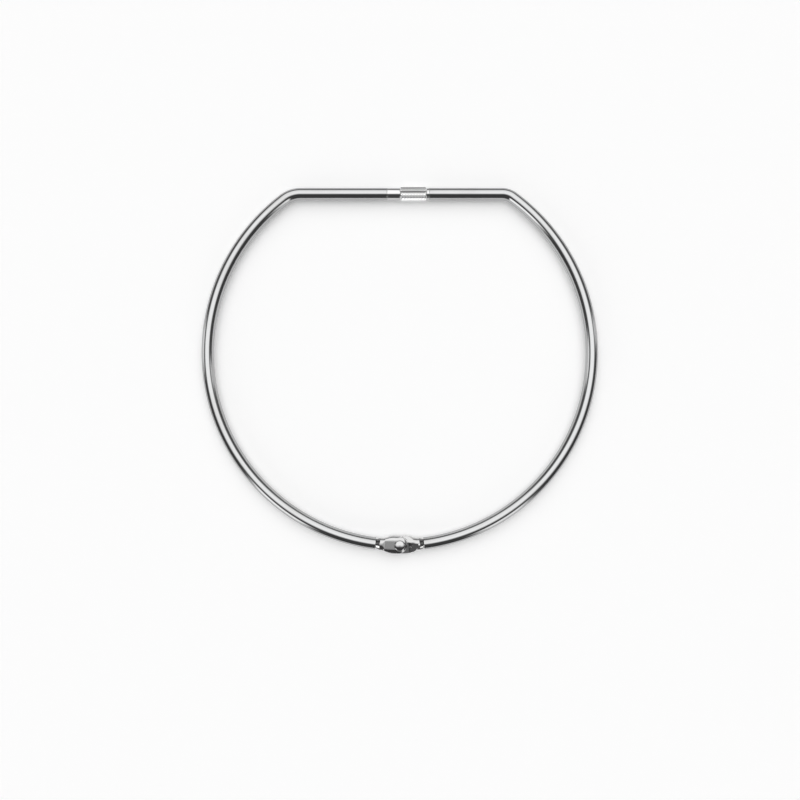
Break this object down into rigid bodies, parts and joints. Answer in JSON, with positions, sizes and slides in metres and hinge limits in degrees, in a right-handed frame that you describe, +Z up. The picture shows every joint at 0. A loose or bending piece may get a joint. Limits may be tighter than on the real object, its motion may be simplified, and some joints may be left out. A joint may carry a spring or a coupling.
{
  "type": "jailer key ring",
  "caption": "Large round key ring of plated tube with one flat side, a riveted lap hinge and a knurled screw closure.",
  "frame": {"origin": "on the surface that the ring lies on, under the middle of its outline", "axes": "+X along the straight closing bar, from the hinge's upper leaf's side to the sleeve's side; +Y from the hinge to the closing bar; +Z up from the surface"},
  "size_m": [0.1672, 0.1547, 0.0065],
  "materials": {
    "plated_tube": "bright plated, faintly satin",
    "polished_fitting": "polished",
    "hinge_steel": "plated forging",
    "knurled_steel": "diamond knurl, plated"
  },
  "bodies": {
    "left_half": {"left_arm": "plated_tube", "left_hinge_leaf": "hinge_steel", "hinge_rivet": "polished_fitting", "threaded_stud": "polished_fitting"},
    "right_half": {"right_arm": "plated_tube", "right_hinge_leaf": "hinge_steel", "swivel_spindle": "polished_fitting"},
    "closing_sleeve": {"knurled_sleeve": "knurled_steel"}
  },
  "joints": [
    {"name": "opening", "type": "hinge", "parent": "left_half", "child": "right_half", "pos_m": [0, -0.07368, 0.00326], "axis": [0, 0, -1], "range_deg": [0, 90]},
    {"name": "sleeve_spin", "type": "hinge", "parent": "right_half", "child": "closing_sleeve", "pos_m": [0.00575, 0.07433, 0.00326], "axis": [1, 0, 0], "continuous": true}
  ]
}
